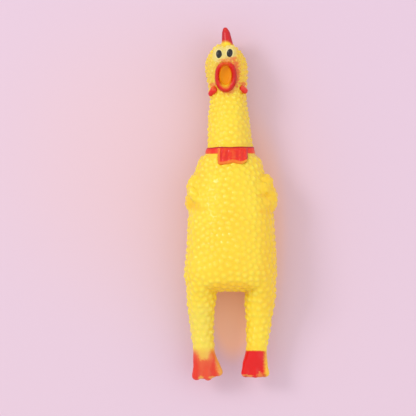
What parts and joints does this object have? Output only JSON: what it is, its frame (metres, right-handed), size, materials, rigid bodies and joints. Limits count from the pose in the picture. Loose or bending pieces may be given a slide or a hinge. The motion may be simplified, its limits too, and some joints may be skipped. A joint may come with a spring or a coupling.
{
  "type": "rubber chicken",
  "caption": "Soft vinyl squeeze chicken lying on its back, with an open beak, comb, wattles, collar with bow tie, folded wings, dangling legs and a reed squeaker in its head.",
  "frame": {"origin": "under the middle of the toy as it lies on its back, on the surface that it lies on", "axes": "+X to the chicken's left, +Y from the feet to the comb, +Z out of the belly"},
  "size_m": [0.0406, 0.1551, 0.0314],
  "materials": {
    "yellow_vinyl": "satin, pebbled",
    "red_paint": "gloss",
    "red_orange_paint": "gloss",
    "orange_paint": "satin",
    "white_paint": "gloss",
    "black_paint": "gloss",
    "squeaker_plastic": "satin",
    "reed_film": "satin"
  },
  "bodies": {
    "torso": {"torso_skin": "yellow_vinyl", "belly_flex": "yellow_vinyl", "wing_right": "yellow_vinyl", "wing_left": "yellow_vinyl", "neck_base_flex": "yellow_vinyl", "collar_band": "red_orange_paint", "bow_tie": "red_orange_paint", "hip_flex_right": "yellow_vinyl", "hip_flex_left": "yellow_vinyl"},
    "belly": {"belly_press_pad": "yellow_vinyl"},
    "neck": {"neck_skin": "yellow_vinyl", "neck_top_flex": "yellow_vinyl"},
    "head": {"head_skin": "yellow_vinyl", "throat_lining": "orange_paint", "beak_ring": "red_paint", "comb": "red_paint", "eye_white_right": "white_paint", "eye_white_left": "white_paint", "pupil_right": "black_paint", "pupil_left": "black_paint", "wattle_right": "red_paint", "wattle_left": "red_paint", "squeaker_housing": "squeaker_plastic", "squeaker_cap": "squeaker_plastic", "reed_seat": "squeaker_plastic", "reed_clip": "squeaker_plastic"},
    "reed": {"reed": "reed_film"},
    "thigh_right": {"thigh_right": "yellow_vinyl", "knee_flex_right": "yellow_vinyl"},
    "thigh_left": {"thigh_left": "yellow_vinyl", "knee_flex_left": "yellow_vinyl"},
    "shank_right": {"shank_right": "yellow_vinyl", "foot_right": "red_paint"},
    "shank_left": {"shank_left": "yellow_vinyl", "foot_left": "red_paint"}
  },
  "joints": [
    {"name": "belly_press", "type": "slide", "parent": "torso", "child": "belly", "axis": [0, 0, -1], "range_m": [0, 0.008], "stiffness_N_per_m": 400, "deforming": ["belly_flex"]},
    {"name": "neck_bend", "type": "hinge", "parent": "torso", "child": "neck", "pos_m": [-0.0007, 0.0296, 0.0125], "axis": [1, 0, 0], "range_deg": [-30, 30], "stiffness_Nm_per_rad": 0.12, "deforming": ["neck_base_flex"]},
    {"name": "head_sway", "type": "hinge", "parent": "neck", "child": "head", "pos_m": [-0.0011, 0.0429, 0.0121], "axis": [0, 0, 1], "range_deg": [-30, 30], "stiffness_Nm_per_rad": 0.08, "deforming": ["neck_top_flex"]},
    {"name": "right_leg_splay", "type": "hinge", "parent": "torso", "child": "thigh_right", "pos_m": [-0.0126, -0.04185, 0.012], "axis": [0, 0, -1], "range_deg": [-4, 30], "stiffness_Nm_per_rad": 0.05, "deforming": ["hip_flex_right"]},
    {"name": "left_leg_splay", "type": "hinge", "parent": "torso", "child": "thigh_left", "pos_m": [0.0126, -0.04185, 0.012], "axis": [0, 0, 1], "range_deg": [-4, 30], "stiffness_Nm_per_rad": 0.05, "deforming": ["hip_flex_left"]},
    {"name": "right_knee_bend", "type": "hinge", "parent": "thigh_right", "child": "shank_right", "pos_m": [-0.0121, -0.053, 0.0114], "axis": [-1, 0, 0], "range_deg": [-25, 45], "stiffness_Nm_per_rad": 0.03, "deforming": ["knee_flex_right"]},
    {"name": "left_knee_bend", "type": "hinge", "parent": "thigh_left", "child": "shank_left", "pos_m": [0.0121, -0.053, 0.0114], "axis": [-1, 0, 0], "range_deg": [-25, 45], "stiffness_Nm_per_rad": 0.03, "deforming": ["knee_flex_left"]},
    {"name": "reed_flutter", "type": "hinge", "parent": "head", "child": "reed", "pos_m": [-0.002, 0.0559, 0.0077], "axis": [1, 0, 0], "range_deg": [-2.5, 2.5], "stiffness_Nm_per_rad": 0.0005}
  ]
}
